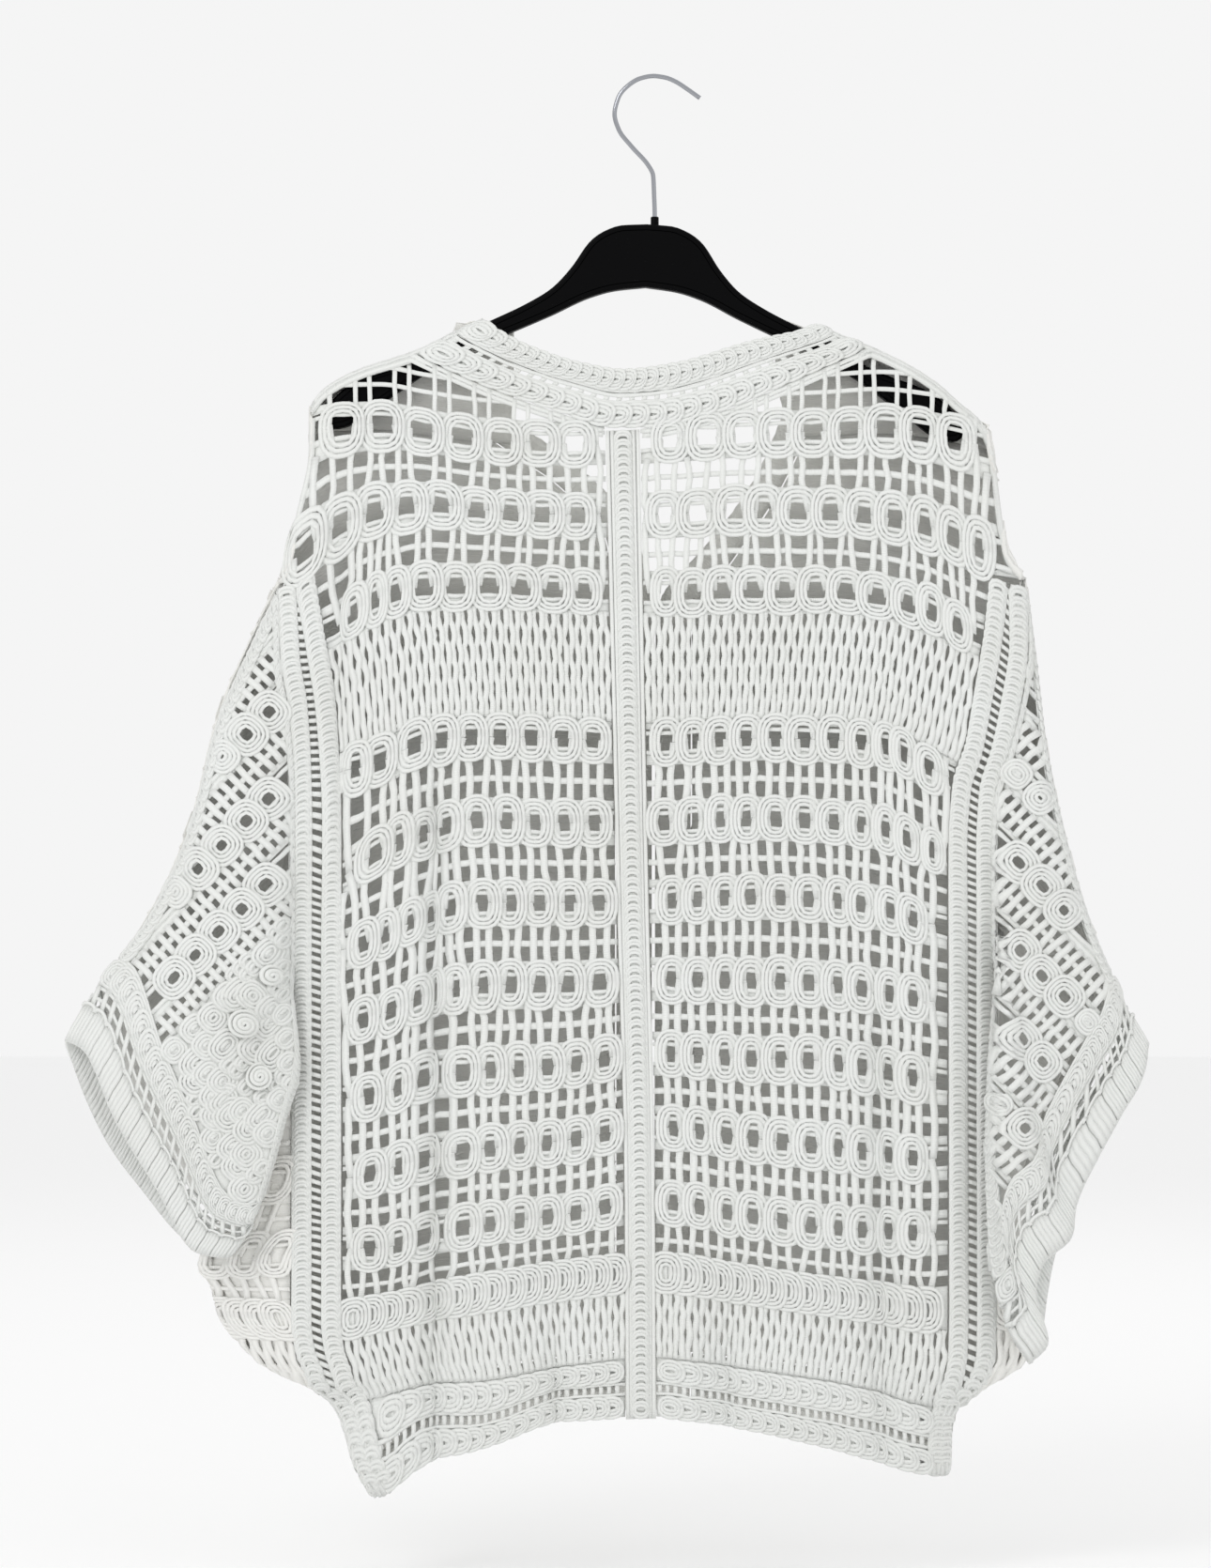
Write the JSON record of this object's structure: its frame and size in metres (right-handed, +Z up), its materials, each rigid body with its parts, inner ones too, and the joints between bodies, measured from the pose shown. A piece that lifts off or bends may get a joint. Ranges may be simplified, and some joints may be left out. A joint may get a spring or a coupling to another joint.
{
  "type": "macrame cardigan on a hanger",
  "caption": "Open-front cardigan of knotted and looped cotton cord with batwing sleeves and banded edges, hung by its shoulders on a moulded hanger with a wire hook",
  "frame": {"origin": "the inside of the crown of the hanger's hook, where it hangs on a rail", "axes": "+Z up; the pictured back of the garment faces -Y and the open fronts face +Y; +X is to the right as the back is seen"},
  "size_m": [0.6952, 0.0877, 0.9149],
  "materials": {
    "cotton": "off-white matt cotton cord, knotted and looped",
    "black_plastic": "black moulded plastic with a fine rim",
    "chromed_wire": "bright chromed steel wire"
  },
  "bodies": {
    "root": {"back_left": "cotton", "back_right": "cotton", "centre_back_band": "cotton", "coil_knob_1": "cotton", "coil_knob_2": "cotton", "coil_knob_3": "cotton", "cuff_left": "cotton", "cuff_right": "cotton", "front_band_left": "cotton", "front_band_right": "cotton", "front_left": "cotton", "front_right": "cotton", "hanger_body": "black_plastic", "hanger_hook": "chromed_wire", "hem_band_back_left": "cotton", "hem_band_back_right": "cotton", "hem_band_front_left": "cotton", "hem_band_front_right": "cotton", "neck_band_back": "cotton", "side_band_left": "cotton", "side_band_right": "cotton", "sleeve_left_back": "cotton", "sleeve_left_front": "cotton", "sleeve_right_back": "cotton", "sleeve_right_front": "cotton"}
  },
  "joints": []
}
